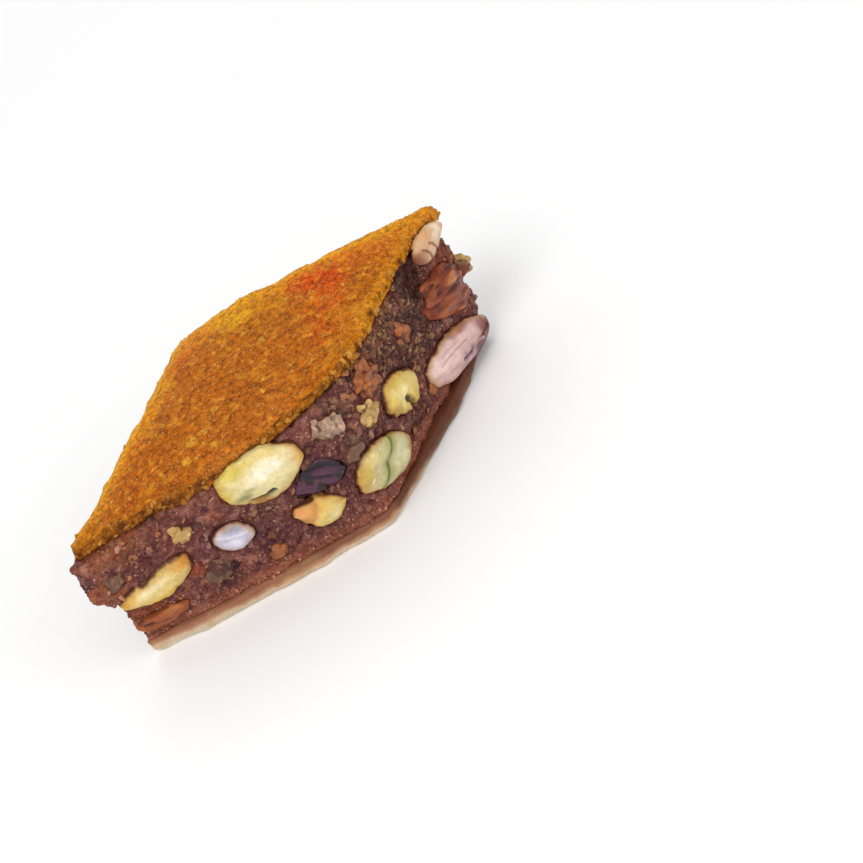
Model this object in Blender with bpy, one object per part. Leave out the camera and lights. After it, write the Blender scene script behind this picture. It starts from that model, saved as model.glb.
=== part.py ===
"""A diamond-cut piece of nut baklava, standing flat on its base crust.

Three layers make it: a pale base crust, a thick body of ground nuts and syrup, and a saffron-glazed
top crust. Whole and broken nuts show where the knife went through, each in its own pocket of the
filling. The long diagonal lies along X. Seen from above and going counterclockwise, the corners are
the tail (-X), the front (-Y), the tip (+X) and the back (+Y).
"""
import math

import bmesh
import bpy
from mathutils import Matrix, Vector, noise

MM = 0.001

# Driving dimensions, in metres
LONG_DIAGONAL = 92 * MM
SHORT_DIAGONAL = 45.2 * MM
DIAGONAL_OFFSET = 2.1 * MM
HEIGHT = 30 * MM
BASE_THICKNESS = 3.6 * MM
CRUST_THICKNESS = 2.2 * MM
GAP = 0.3 * MM

# Derived sizes
HALF_LONG = LONG_DIAGONAL / 2
HALF_SHORT = SHORT_DIAGONAL / 2
MEAN_SIDE = math.hypot(HALF_LONG, HALF_SHORT)
HALF_WIDTH = HALF_LONG * HALF_SHORT / MEAN_SIDE
FILLING_LOW = BASE_THICKNESS + GAP
FILLING_HIGH = HEIGHT - CRUST_THICKNESS - GAP

# How the knife and the baking left each layer
NARROW_ROUNDING = 0.005
WIDE_ROUNDING = 0.035
CORNER_SHARPNESS = 14
CRUST_SETBACK = {"front_left": 0.3 * MM, "front_right": 1.7 * MM, "back_right": -0.9 * MM, "back_left": -0.9 * MM}
FRONT_BREAK = 4.2 * MM
FRONT_BREAK_REACH = 7 * MM
CRUMBLE_DEPTH = 7 * MM
CRUST_PUFF = 2.3 * MM
RIM_DROP = 0.4 * MM
BASE_SPREAD = 0.8 * MM
BASE_FLARE = 1.2 * MM
TAIL_UNDERCUT = 0.9 * MM
TAIL_BULGE = 1.6 * MM
TIP_START = 0.75
TIP_SPREAD = 1.6 * MM
TIP_TUCK = 2.0 * MM
TIP_REACH = 12 * MM
TAIL_REACH = 12 * MM

# Corner each cut face starts from and ends at, seen from outside with the start on the left
TAIL = Vector((-HALF_LONG, -DIAGONAL_OFFSET, 0))
FRONT = Vector((0, -HALF_SHORT, 0))
TIP = Vector((HALF_LONG, -DIAGONAL_OFFSET, 0))
BACK = Vector((0, HALF_SHORT, 0))
FACES = {
    "front_left": (TAIL, FRONT),
    "front_right": (FRONT, TIP),
    "back_right": (TIP, BACK),
    "back_left": (BACK, TAIL),
}

# Outline of a nut on the cut face, as its reach every 45 degrees from the right-hand end
# counterclockwise. An oval reaches 1 all the way round.
OVAL = (1.0, 0.95, 1.0, 0.95, 1.0, 1.15, 0.9, 1.0)
BLUNT_OVAL = (1.05, 0.9, 0.9, 1.1, 0.95, 1.1, 0.9, 1.0)
BROAD_END = (1.15, 0.9, 0.9, 1.2, 1.0, 0.8, 1.05, 1.0)
WEDGE = (0.85, 1.2, 0.95, 0.75, 1.3, 0.95, 0.95, 0.95)
SHARD = (1.1, 0.95, 0.95, 1.0, 1.0, 0.95, 1.05, 0.95)
SPLINTER = (1.05, 0.75, 0.95, 1.2, 1.05, 1.1, 0.95, 0.85)
DROP = (0.9, 1.15, 0.95, 0.9, 1.1, 0.9, 1.1, 0.9)
LEAF = (1.15, 0.95, 0.85, 1.1, 0.9, 0.95, 1.1, 0.85)
BLOCK = (0.9, 1.0, 0.95, 1.1, 1.0, 1.05, 0.95, 1.05)
LOBED = (0.8, 0.9, 0.85, 0.95, 1.2, 0.85, 0.85, 1.25)
CRESCENT = (1.1, 1.05, 1.05, 0.9, 0.8, 1.3, 0.85, 0.8)

# Kind of nut: depth of the half inside the filling as a share of the width, height of the half
# outside it in metres, unevenness as a share of the size, depth of its groove, number of wrinkles
PISTACHIO = {"inside": 0.50, "outside": 1.7 * MM, "uneven": 0.03, "groove": 0.0, "wrinkles": 0}
SPLIT_PISTACHIO = {"inside": 0.50, "outside": 2.6 * MM, "uneven": 0.05, "groove": 0.4, "wrinkles": 0}
ALMOND = {"inside": 0.34, "outside": 1.9 * MM, "uneven": 0.05, "groove": 0.0, "wrinkles": 0}
SKIN_ALMOND = {"inside": 0.36, "outside": 2.8 * MM, "uneven": 0.07, "groove": 0.0, "wrinkles": 3}
BROKEN = {"inside": 0.45, "outside": 1.8 * MM, "uneven": 0.08, "groove": 0.0, "wrinkles": 0}
RAISIN = {"inside": 0.45, "outside": 0.6 * MM, "uneven": 0.12, "groove": 0.0, "wrinkles": 0}

# Nuts on the cut faces: name, kind, outline, face, distance along it, height, length, width, turn in
# degrees, and how far the widest section lies outside the face. Lengths are in millimetres.
NUTS = (
    ("pistachio_large", PISTACHIO, BROAD_END, "front_left", 34.7, 24.0, 15.8, 11.0, 5, -0.4),
    ("nut_orange_skin", BROKEN, WEDGE, "front_left", 40.6, 11.2, 9.4, 7.4, -32, -0.4),
    ("almond_piece_pale", BROKEN, SHARD, "front_left", 24.9, 15.8, 7.8, 6.3, -17, -0.4),
    ("pistachio_long", PISTACHIO, DROP, "front_left", 9.5, 14.8, 16.4, 7.0, 7, -0.5),
    ("almond_skin_low", ALMOND, LEAF, "front_left", 6.2, 7.4, 10.6, 4.0, -3, -1.0),
    ("pistachio_split", SPLIT_PISTACHIO, BLUNT_OVAL, "front_right", 6.9, 10.2, 17.2, 10.0, -23, -0.6),
    ("pistachio_square", BROKEN, BLOCK, "front_right", 19.1, 15.0, 12.8, 8.8, -29, -0.4),
    ("almond_halved", ALMOND, OVAL, "front_right", 38.1, 7.0, 25.0, 8.8, -18, 0.4),
    ("almond_skin_side", SKIN_ALMOND, LOBED, "front_right", 42.8, 17.2, 14.2, 11.2, -10, -0.4),
    ("almond_blanched_tip", BROKEN, SPLINTER, "front_right", 44.8, 28.0, 10.2, 4.8, 5, 0.5),
    ("raisin_dark", RAISIN, CRESCENT, "front_left", 43.2, 17.3, 9.2, 7.7, -21, -0.6),
    ("pistachio_back", PISTACHIO, BLUNT_OVAL, "back_right", 30.0, 19.0, 15.8, 8.8, 24, -0.4),
    ("almond_back", ALMOND, DROP, "back_right", 16.6, 10.8, 19.0, 9.2, -12, -0.3),
    ("pistachio_piece_back", BROKEN, WEDGE, "back_right", 42.0, 10.6, 9.6, 7.4, 40, -0.4),
    ("raisin_back", RAISIN, LOBED, "back_right", 31.0, 9.0, 9.0, 6.0, 10, -0.5),
    ("almond_halved_left", ALMOND, OVAL, "back_left", 12.8, 17.4, 20.0, 9.6, 18, -0.3),
    ("pistachio_split_left", SPLIT_PISTACHIO, BLUNT_OVAL, "back_left", 28.6, 10.2, 14.6, 9.4, -14, -0.8),
    ("pistachio_left", PISTACHIO, DROP, "back_left", 37.0, 20.0, 14.0, 8.2, 30, -0.4),
    ("nut_piece_left", BROKEN, SHARD, "back_left", 16.0, 8.0, 8.8, 5.6, -20, -0.4),
)

# Chips of nut stuck in the filling: face, distance along it, height, size and depth behind the face
CHIPS = (
    ("front_left", 3.4, 20.4, 4.4, 0.4),
    ("front_left", 19.5, 10.8, 4.6, 0.5),
    ("front_left", 30.4, 7.8, 3.4, 0.4),
    ("front_left", 17.6, 21.8, 3.8, 0.5),
    ("front_left", 48.2, 24.4, 4.4, 3.2),
    ("front_right", 2.6, 23.4, 4.6, 2.8),
    ("front_right", 1.0, 18.6, 4.6, 0.8),
    ("front_right", 9.2, 19.6, 5.0, 0.8),
    ("front_right", 13.6, 23.6, 6.6, 1.4),
    ("front_right", 27.0, 21.6, 4.4, 0.9),
    ("front_right", 27.4, 8.4, 3.4, 0.5),
    ("back_right", 22.4, 19.6, 4.6, 0.7),
    ("back_right", 23.4, 6.6, 3.6, 0.5),
    ("back_right", 42.4, 19.8, 4.6, 0.8),
    ("back_left", 26.0, 20.6, 4.8, 0.8),
    ("back_left", 40.4, 9.4, 4.6, 0.7),
    ("back_left", 5.4, 9.6, 4.2, 0.7),
    ("back_right", 0.6, 16.4, 5.0, 0.2),
)

FLAT_ANGLE = math.radians(0.5)
NUT_SEGMENTS = 14
NUT_RINGS = 8
CHIP_SUBDIVISIONS = 2


def clear_scene():
    """Remove what the scene holds."""
    for thing in list(bpy.data.objects):
        bpy.data.objects.remove(thing)


def collection(name):
    """A new collection in the scene."""
    made = bpy.data.collections.new(name)
    bpy.context.scene.collection.children.link(made)
    return made


def material(name, colour, roughness):
    """A matt or glazed food surface."""
    made = bpy.data.materials.new(name)
    made.use_nodes = True
    shader = made.node_tree.nodes["Principled BSDF"]
    shader.inputs["Base Color"].default_value = (*colour, 1)
    shader.inputs["Roughness"].default_value = roughness
    shader.inputs["Metallic"].default_value = 0
    return made


def link_mesh(name, mesh, group, finish):
    """Put a finished bmesh in the scene as a named object."""
    data = bpy.data.meshes.new(name)
    mesh.to_mesh(data)
    mesh.free()
    data.materials.append(finish)
    data.shade_smooth()
    made = bpy.data.objects.new(name, data)
    group.objects.link(made)
    return made


def smooth_step(low, high, value):
    """0 below low, 1 above high, and a smooth rise between."""
    share = min(1.0, max(0.0, (value - low) / (high - low)))
    return share * share * (3 - 2 * share)


def face_frame(face):
    """Start corner, direction along the face and outward normal of a cut face."""
    start, end = FACES[face]
    along = (end - start).normalized()
    return start, along, Vector((along.y, -along.x, 0))


def face_length(face):
    """Length of a cut face from corner to corner."""
    start, end = FACES[face]
    return (end - start).length


def on_diamond(u, v, height):
    """The point of the diamond at u (front left to back right) and v (back left to front right)."""
    left = TAIL * ((1 - v) / 2) + FRONT * ((1 + v) / 2)
    right = BACK * ((1 - v) / 2) + TIP * ((1 + v) / 2)
    place = left * ((1 - u) / 2) + right * ((1 + u) / 2)
    return Vector((place.x, place.y, height))


def ragged(point, wavelength, amount):
    """A smooth unevenness of the given wavelength and height, the same at each run."""
    return amount * noise.noise(point / wavelength)


def near_front(face, run):
    """1 at the front corner, falling to 0 along both front faces."""
    away = {"front_left": face_length(face) - run, "front_right": run}.get(face)
    return 0 if away is None else math.exp(-((away / FRONT_BREAK_REACH) ** 2))


def near_tail(face, run):
    """1 at the tail corner, falling to 0 along both faces that meet there."""
    away = {"front_left": run, "back_left": face_length(face) - run}.get(face)
    return 0 if away is None else math.exp(-((away / TAIL_REACH) ** 2))


def near_tip(face, run):
    """1 at the tip corner, falling to 0 along both faces that meet there."""
    away = {"back_right": run, "front_right": face_length(face) - run}.get(face)
    return 0 if away is None else math.exp(-((away / TIP_REACH) ** 2))


def crust_shift(face, run, height, point):
    """The top crust stops short of the cut face, most where it broke off at the front corner."""
    setback = CRUST_SETBACK[face] + FRONT_BREAK * near_front(face, run)
    if face == "back_right":
        setback -= TIP_SPREAD * near_tip(face, run)
    if face == "front_right":
        setback *= 1 - smooth_step(TIP_START, 1, run / face_length(face))
    rim = 0.3 * MM * smooth_step(HEIGHT - CRUST_THICKNESS, HEIGHT, height)
    return -setback - rim + ragged(point, 5 * MM, 0.9 * MM) + ragged(point, 2.4 * MM, 0.5 * MM)


def filling_shift(face, run, height, point):
    """The filling is rough, leans in at the tail, and has crumbled away under the broken crust."""
    bare = CRUST_SETBACK[face] + 0.9 * FRONT_BREAK * near_front(face, run)
    crumbled = max(0, bare) * smooth_step(FILLING_HIGH - CRUMBLE_DEPTH, FILLING_HIGH, height)
    level = (height - FILLING_LOW) / (FILLING_HIGH - FILLING_LOW)
    tail = near_tail(face, run) * (
        TAIL_BULGE * smooth_step(0.3, 0.75, level) - TAIL_UNDERCUT * (1 - smooth_step(0.0, 0.6, level))
    )
    return tail - crumbled + ragged(point, 7 * MM, 0.8 * MM) + ragged(point, 3 * MM, 0.45 * MM)


def base_shift(face, run, height, point):
    """The base crust spreads a little, most at the front right, and is crushed at the tail and tip."""
    flare = BASE_FLARE * smooth_step(0.05, 0.6, run / face_length(face)) if face == "front_right" else 0
    tuck = 0.6 * MM * (1 - smooth_step(0, 1.4 * MM, height))
    return (
        BASE_SPREAD
        + flare
        - TAIL_UNDERCUT * near_tail(face, run)
        - TIP_TUCK * near_tip(face, run)
        - tuck
        + ragged(point, 6 * MM, 0.8 * MM)
        + ragged(point, 2.6 * MM, 0.4 * MM)
    )


def oven_swell(u, v, point):
    """How far the underside of the top crust rose in the oven, less its droop at the rim."""
    swell = CRUST_PUFF * (1 - min(1, abs(v)) ** 3) * smooth_step(-1.2, 0.9, u)
    rim = RIM_DROP * min(1, max(abs(u), abs(v))) ** 8
    return swell - rim + ragged(Vector((point.x, point.y, 0)), 9 * MM, 0.35 * MM)


def crust_lift(u, v, point):
    """The crust follows the swell, and its upper side is a little uneven."""
    upper = smooth_step(HEIGHT - CRUST_THICKNESS, HEIGHT, point.z)
    return oven_swell(u, v, point) + upper * ragged(point, 3 * MM, 0.25 * MM)


def filling_lift(u, v, point):
    """The top of the filling follows the crust, and its foot stays level."""
    return oven_swell(u, v, point) * smooth_step(FILLING_LOW, FILLING_HIGH, point.z)


def no_lift(u, v, point):
    """A level layer."""
    return 0


def slab(name, low, high, plan_cuts, height_cuts, shift, lift, group, finish):
    """One layer: a subdivided box laid out on the diamond, with its sides and faces made uneven."""
    mesh = bmesh.new()
    bmesh.ops.create_cube(mesh, size=2)
    upright = [e for e in mesh.edges if abs(e.verts[0].co.z - e.verts[1].co.z) > 1]
    if height_cuts:
        bmesh.ops.subdivide_edges(mesh, edges=upright, cuts=height_cuts, use_grid_fill=True)
    level = [e for e in mesh.edges if abs(e.verts[0].co.z - e.verts[1].co.z) < 1e-6]
    bmesh.ops.subdivide_edges(mesh, edges=level, cuts=plan_cuts, use_grid_fill=True)
    for vertex in mesh.verts:
        u, v, w = vertex.co
        height = low + (high - low) * (w + 1) / 2
        place = on_diamond(u, v, height)
        rounding = NARROW_ROUNDING + (WIDE_ROUNDING - NARROW_ROUNDING) * (1 - u * v) / 2
        back_right = shift("back_right", (1 - v) / 2 * MEAN_SIDE, height, place) * (1 + u) / 2
        front_left = shift("front_left", (1 + v) / 2 * MEAN_SIDE, height, place) * (1 - u) / 2
        front_right = shift("front_right", (1 + u) / 2 * MEAN_SIDE, height, place) * (1 + v) / 2
        back_left = shift("back_left", (1 - u) / 2 * MEAN_SIDE, height, place) * (1 - v) / 2
        moved_u = u * (1 - rounding * abs(v) ** CORNER_SHARPNESS) + (back_right - front_left) / HALF_WIDTH
        moved_v = v * (1 - rounding * abs(u) ** CORNER_SHARPNESS) + (front_right - back_left) / HALF_WIDTH
        moved = on_diamond(moved_u, moved_v, height)
        moved.z += lift(moved_u, moved_v, moved)
        vertex.co = moved
    bmesh.ops.dissolve_limit(mesh, angle_limit=FLAT_ANGLE, verts=mesh.verts, edges=mesh.edges)
    bmesh.ops.triangulate(mesh, faces=mesh.faces)
    bmesh.ops.recalc_face_normals(mesh, faces=mesh.faces)
    return link_mesh(name, mesh, group, finish)


def placed(face, run, height, turn, outside):
    """Matrix of a nut's own frame: X along its length, Y across it, Z out of the cut face."""
    start, along, outward = face_frame(face)
    middle = start + along * (run * MM) + Vector((0, 0, height * MM)) + outward * (outside * MM)
    axes = Matrix((along, Vector((0, 0, 1)), outward)).transposed()
    return Matrix.Translation(middle) @ (axes @ Matrix.Rotation(math.radians(turn), 3, "Z")).to_4x4()


def outline_reach(outline, angle):
    """Reach of a nut's outline at an angle, blended between the eight given directions."""
    step = math.tau / len(outline)
    first = math.floor(angle / step)
    share = smooth_step(0, 1, angle / step - first)
    return outline[first % len(outline)] * (1 - share) + outline[(first + 1) % len(outline)] * share


def nut_body(kind, outline, length, width, seed, margin):
    """A kernel: its outline on the cut face, a deep half inside the filling and a low one outside."""
    mesh = bmesh.new()
    bmesh.ops.create_uvsphere(mesh, u_segments=NUT_SEGMENTS, v_segments=NUT_RINGS, radius=1)
    half_length = length * MM / 2
    half_width = width * MM / 2
    for vertex in mesh.verts:
        x, y, z = vertex.co
        lump = 1 + kind["uneven"] * 2 * noise.noise(vertex.co * 1.3 + Vector((seed, 0, 0)))
        reach = lump * outline_reach(outline, math.atan2(y, x) % math.tau)
        if z > 0:
            wrinkle = 1 - 0.2 * math.sin(math.pi * kind["wrinkles"] * y) ** 2
            dent = 1 - kind["groove"] * math.exp(-((y / 0.16) ** 2))
            rise = z**0.55 * (kind["outside"] * lump * dent * wrinkle + margin)
        else:
            rise = -(abs(z) ** 0.8) * (kind["inside"] * width * MM * lump + margin)
        vertex.co = Vector((x * (half_length * reach + margin), y * (half_width * reach + margin), rise))
    bmesh.ops.triangulate(mesh, faces=mesh.faces)
    return mesh


def chip_body(size, seed):
    """A crumb of nut as an uneven, faceted lump."""
    mesh = bmesh.new()
    bmesh.ops.create_icosphere(mesh, subdivisions=CHIP_SUBDIVISIONS, radius=size * MM / 2)
    for vertex in mesh.verts:
        vertex.co *= 1 + 0.35 * noise.noise(vertex.co / (1.6 * MM) + Vector((seed, 7, 0)))
        vertex.co.z *= 0.62
    return mesh


def add_boolean(target, operation, group):
    """Cut a collection from an object, or join it to the object."""
    step = target.modifiers.new(operation.lower(), "BOOLEAN")
    step.operation = operation
    step.operand_type = "COLLECTION"
    step.collection = group
    step.solver = "EXACT"


def fuse_chips(filling, group, finish):
    """Join the chips to the filling in one union, and drop the loose copies."""
    for number, (face, run, height, size, behind) in enumerate(CHIPS):
        chip = link_mesh(f"chip_{number}", chip_body(size, number), group, finish)
        chip.matrix_world = placed(face, run, height, 37 * number, -behind)
    add_boolean(filling, "UNION", group)
    bpy.context.view_layer.update()
    evaluated = filling.evaluated_get(bpy.context.evaluated_depsgraph_get())
    joined = bpy.data.meshes.new_from_object(evaluated)
    filling.modifiers.clear()
    filling.data = joined
    for chip in list(group.objects):
        bpy.data.objects.remove(chip)
    bpy.data.collections.remove(group)


def add_nuts(group, hard_pockets, soft_pockets, finishes):
    """Every nut that shows, and the slightly larger pocket that it sits in."""
    nuts = []
    for number, (name, kind, outline, face, run, height, length, width, turn, outside) in enumerate(NUTS):
        place = placed(face, run, height, turn, outside)
        body = nut_body(kind, outline, length, width, number, 0)
        nut = link_mesh(name, body, group, finishes[name])
        nut.matrix_world = place
        hollow = nut_body(kind, outline, length, width, number, GAP)
        pockets = soft_pockets if kind is RAISIN else hard_pockets
        pocket = link_mesh(f"pocket_{name}", hollow, pockets, finishes[name])
        pocket.matrix_world = place
        pocket.hide_render = True
        pocket.display_type = "WIRE"
        if kind is RAISIN:
            add_boolean(nut, "DIFFERENCE", hard_pockets)
        nuts.append(nut)
    return nuts


def seat_on_origin(pieces):
    """Put the middle of the whole piece's outline over the origin, with the base crust at zero."""
    bpy.context.view_layer.update()
    graph = bpy.context.evaluated_depsgraph_get()
    corners = []
    for piece in pieces:
        shown = piece.evaluated_get(graph)
        corners += [shown.matrix_world @ vertex.co for vertex in shown.data.vertices]
    for axis in (0, 1):
        reach = [corner[axis] for corner in corners]
        middle = (min(reach) + max(reach)) / 2
        for thing in bpy.data.objects:
            thing.location[axis] -= middle


def nut_finishes():
    """A colour for each nut: pale kernel, green kernel, brown skin or dark fruit."""
    cream = material("kernel_cream", (0.80, 0.68, 0.34), 0.45)
    green = material("kernel_green", (0.60, 0.56, 0.28), 0.45)
    white = material("kernel_white", (0.58, 0.46, 0.42), 0.45)
    skin = material("nut_skin", (0.18, 0.05, 0.025), 0.4)
    dark = material("raisin", (0.06, 0.03, 0.045), 0.35)
    chosen = {}
    for name, kind, *_ in NUTS:
        if kind is RAISIN:
            chosen[name] = dark
        elif kind is SKIN_ALMOND or name == "almond_skin_low":
            chosen[name] = skin
        elif kind is SPLIT_PISTACHIO:
            chosen[name] = green
        elif kind is ALMOND or "almond" in name:
            chosen[name] = white
        else:
            chosen[name] = cream
    return chosen


def build():
    """The three layers and the nuts."""
    clear_scene()
    group = collection("baklava_piece")
    hard_pockets = collection("kernel_pockets")
    soft_pockets = collection("raisin_pockets")
    chips = collection("chips")
    filling_finish = material("filling", (0.19, 0.07, 0.045), 0.55)
    crust_finish = material("glazed_crust", (0.46, 0.15, 0.018), 0.32)
    base_finish = material("base_pastry", (0.62, 0.49, 0.34), 0.6)
    filling = slab(
        "nut_filling", FILLING_LOW, FILLING_HIGH, 15, 8, filling_shift, filling_lift, group, filling_finish
    )
    fuse_chips(filling, chips, filling_finish)
    base = slab("base_crust", 0, BASE_THICKNESS, 17, 2, base_shift, no_lift, group, base_finish)
    crust = slab(
        "top_crust", HEIGHT - CRUST_THICKNESS, HEIGHT, 19, 1, crust_shift, crust_lift, group, crust_finish
    )
    nuts = add_nuts(group, hard_pockets, soft_pockets, nut_finishes())
    for layer in (filling, base, crust):
        add_boolean(layer, "DIFFERENCE", hard_pockets)
    add_boolean(filling, "DIFFERENCE", soft_pockets)
    seat_on_origin([filling, base, crust, *nuts])


build()
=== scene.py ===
"""A diamond-cut piece of nut baklava: pale base crust, dark nut filling, glazed top crust and cut nuts."""
import math

import bmesh
import bpy
import numpy as np
from mathutils import Matrix, Vector, noise
from mathutils.bvhtree import BVHTree


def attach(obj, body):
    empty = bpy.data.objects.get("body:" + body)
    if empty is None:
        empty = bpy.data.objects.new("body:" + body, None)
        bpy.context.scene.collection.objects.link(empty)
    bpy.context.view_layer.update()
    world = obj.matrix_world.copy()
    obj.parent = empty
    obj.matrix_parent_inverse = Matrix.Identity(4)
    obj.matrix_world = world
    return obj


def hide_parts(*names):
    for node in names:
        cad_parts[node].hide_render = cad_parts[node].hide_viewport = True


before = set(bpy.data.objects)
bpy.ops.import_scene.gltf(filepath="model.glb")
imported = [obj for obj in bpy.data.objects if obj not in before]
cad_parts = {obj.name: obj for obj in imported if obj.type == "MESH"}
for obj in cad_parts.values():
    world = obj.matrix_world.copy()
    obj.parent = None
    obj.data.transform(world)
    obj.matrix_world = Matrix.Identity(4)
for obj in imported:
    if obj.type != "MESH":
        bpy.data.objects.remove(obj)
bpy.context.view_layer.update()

MM = 0.001


# Table, lamps and camera
# The piece stands on a plain pale table under large soft lamps. The camera looks down past the front
# corner from 0.48 m and is rolled, so that the long diagonal climbs to the right of the picture.
EYE = Vector((-0.12971, -0.36137, 0.29590))
LOOK_RIGHT = Vector((0.67956, -0.62075, -0.39098))
LOOK_UP = Vector((0.66443, 0.29482, 0.68674))
LOOK_BACK = LOOK_RIGHT.cross(LOOK_UP)
LENS = 108.46
TABLE_SIZE = 8.0


def put(tree, kind, inputs=None, **settings):
    """A new node with its settings, and its inputs either set or joined to another node's output."""
    node = tree.nodes.new(kind)
    for key, value in settings.items():
        setattr(node, key, value)
    for key, value in (inputs or {}).items():
        if isinstance(value, bpy.types.NodeSocket):
            tree.links.new(value, node.inputs[key])
        else:
            node.inputs[key].default_value = value
    return node


def new_surface(name, roughness, **sockets):
    """A material, its node tree and its shader, with fixed values on the shader's own sockets."""
    material = bpy.data.materials.new(name)
    material.use_nodes = True
    shader = material.node_tree.nodes["Principled BSDF"]
    shader.inputs["Roughness"].default_value = roughness
    for key, value in sockets.items():
        shader.inputs[key.replace("_", " ")].default_value = value
    return material, material.node_tree, shader


def place_object(name, mesh):
    """Puts a mesh in the scene as an object at the origin."""
    piece = bpy.data.objects.new(name, mesh)
    bpy.context.scene.collection.objects.link(piece)
    return piece


table_mesh = bpy.data.meshes.new("table")
flat = bmesh.new()
bmesh.ops.create_circle(flat, cap_ends=True, segments=96, radius=TABLE_SIZE / 2)
flat.to_mesh(table_mesh)
flat.free()
table = place_object("table", table_mesh)
table_paint, table_tree, table_shader = new_surface("table_paint", 0.9)
table_coords = put(table_tree, "ShaderNodeTexCoord").outputs["Object"]
table_mottle = put(table_tree, "ShaderNodeTexNoise", {"Vector": table_coords, "Scale": 14.0})
table_ramp = put(table_tree, "ShaderNodeValToRGB", {"Fac": table_mottle.outputs["Fac"]})
table_ramp.color_ramp.elements[0].color = (0.93, 0.93, 0.93, 1)
table_ramp.color_ramp.elements[1].color = (0.96, 0.96, 0.96, 1)
table_tree.links.new(table_ramp.outputs["Color"], table_shader.inputs["Base Color"])
table_mesh.materials.append(table_paint)

for lamp_name, power, width, spot in (
    ("key_lamp", 2.9, 0.40, (-0.45, -0.30, 0.75)),
    ("fill_lamp", 1.1, 0.60, (0.40, -0.70, 0.45)),
    ("back_lamp", 0.8, 0.50, (0.25, 0.60, 0.60)),
):
    lamp_data = bpy.data.lights.new(lamp_name, "AREA")
    lamp_data.energy = power
    lamp_data.size = width
    lamp = bpy.data.objects.new(lamp_name, lamp_data)
    lamp.location = spot
    lamp.rotation_euler = Vector(spot).to_track_quat("Z", "Y").to_euler()
    bpy.context.scene.collection.objects.link(lamp)

world = bpy.data.worlds.new("soft_room")
world.use_nodes = True
world.node_tree.nodes["Background"].inputs["Color"].default_value = (1.0, 1.0, 1.0, 1)
world.node_tree.nodes["Background"].inputs["Strength"].default_value = 0.72
bpy.context.scene.world = world
bpy.context.scene.view_settings.view_transform = "Standard"

camera_data = bpy.data.cameras.new("camera")
camera_data.sensor_width = 36.0
camera_data.lens = LENS
camera_data.clip_start = 0.01
camera = bpy.data.objects.new("camera", camera_data)
camera.matrix_world = Matrix.Translation(EYE) @ Matrix((LOOK_RIGHT, LOOK_UP, LOOK_BACK)).transposed().to_4x4()
bpy.context.scene.collection.objects.link(camera)
bpy.context.scene.camera = camera


# Base crust
# A thin sheet of pale, unsweetened yeast dough that the filling was baked on. It is cut with the same
# knife, so its sides are a little torn, and syrup from the filling has stained its upper part brown.
# Its front-right side is painted darker, partly its own baked colour and partly painted shade of a side
# turned from the lamps, and darker still towards the tip, partly stain and partly painted shadow.
BASE_SPACING = 0.34
STAIN_START = (-33.0, -24.0)


def seen(red, green, blue):
    """A colour as it looks, 0 to 255, turned into linear light."""
    return np.array([((c / 255 + 0.055) / 1.055) ** 2.4 for c in (red, green, blue)])


def fine_copy(node, name, spacing, softening):
    """A copy of a solid of the frame, remade in small even faces that can carry relief."""
    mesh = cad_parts[node].data.copy()
    merged = bmesh.new()
    merged.from_mesh(mesh)
    bmesh.ops.remove_doubles(merged, verts=merged.verts, dist=1e-6)
    merged.to_mesh(mesh)
    merged.free()
    mesh.materials.clear()
    piece = place_object(name, mesh)
    even = piece.modifiers.new("even_faces", "REMESH")
    even.mode = "VOXEL"
    even.voxel_size = spacing * MM
    even.use_smooth_shade = True
    soft = piece.modifiers.new("soften", "SMOOTH")
    soft.factor = 0.5
    soft.iterations = softening
    bpy.context.view_layer.update()
    shown = piece.evaluated_get(bpy.context.evaluated_depsgraph_get())
    piece.data = bpy.data.meshes.new_from_object(shown)
    piece.modifiers.clear()
    return piece


def points_of(piece):
    """Places of a piece's vertices, in millimetres."""
    flat = np.empty(len(piece.data.vertices) * 3)
    piece.data.vertices.foreach_get("co", flat)
    return flat.reshape(-1, 3) / MM


def facing_of(piece):
    """Outward direction at each vertex."""
    flat = np.empty(len(piece.data.vertices) * 3)
    piece.data.vertex_normals.foreach_get("vector", flat)
    return flat.reshape(-1, 3)


def move_to(piece, points):
    """Puts a piece's vertices at the points."""
    piece.data.vertices.foreach_set("co", (points * MM).ravel())
    piece.data.update()


def raise_surface(piece, heights):
    """Moves each vertex outwards by its height in millimetres."""
    move_to(piece, points_of(piece) + facing_of(piece) * heights[:, None])


def waves(points, size, seed=0):
    """Soft unevenness between -1 and 1, with features of that size in millimetres."""
    shift = Vector((seed * 7.3, seed * 3.1, seed * 5.7))
    return np.array([noise.noise(Vector(p) / size + shift) for p in points.tolist()])


def grains(points, size, seed=0):
    """Height of packed round grains: 1 on their tops and 0 in the gaps between them."""
    shift = Vector((seed * 2.9, seed * 6.1, seed * 4.3))
    near = np.array([noise.voronoi(Vector(p) / size + shift)[0][0] for p in points.tolist()])
    return np.sqrt(np.clip(1 - (near / 0.75) ** 2, 0, 1))


def step(low, high, values):
    """0 below low, 1 above high, and a smooth rise between."""
    share = np.clip((values - low) / (high - low), 0, 1)
    return share * share * (3 - 2 * share)


def plain(points, colour):
    """One colour, as seen, at every vertex."""
    return np.tile(seen(*colour), (len(points), 1))


def coat(colours, *layers):
    """The colours with layers over them, each a colour as seen and its share at each vertex."""
    for colour, share in layers:
        colours = colours + (seen(*colour) - colours) * np.clip(share, 0, 1)[:, None]
    return colours


def paint(piece, colours):
    """Keeps a colour at each vertex, for the material to read."""
    layer = piece.data.color_attributes.new("colour", "FLOAT_COLOR", "POINT")
    layer.data.foreach_set("color", np.column_stack([colours, np.ones(len(colours))]).ravel())


def vectors(tree, operation, first, second):
    """A vector sum on two vectors, or on a vector and a number to scale it by."""
    inputs = {0: first, "Scale" if operation == "SCALE" else 1: second}
    return put(tree, "ShaderNodeVectorMath", inputs, operation=operation).outputs[0]


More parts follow.
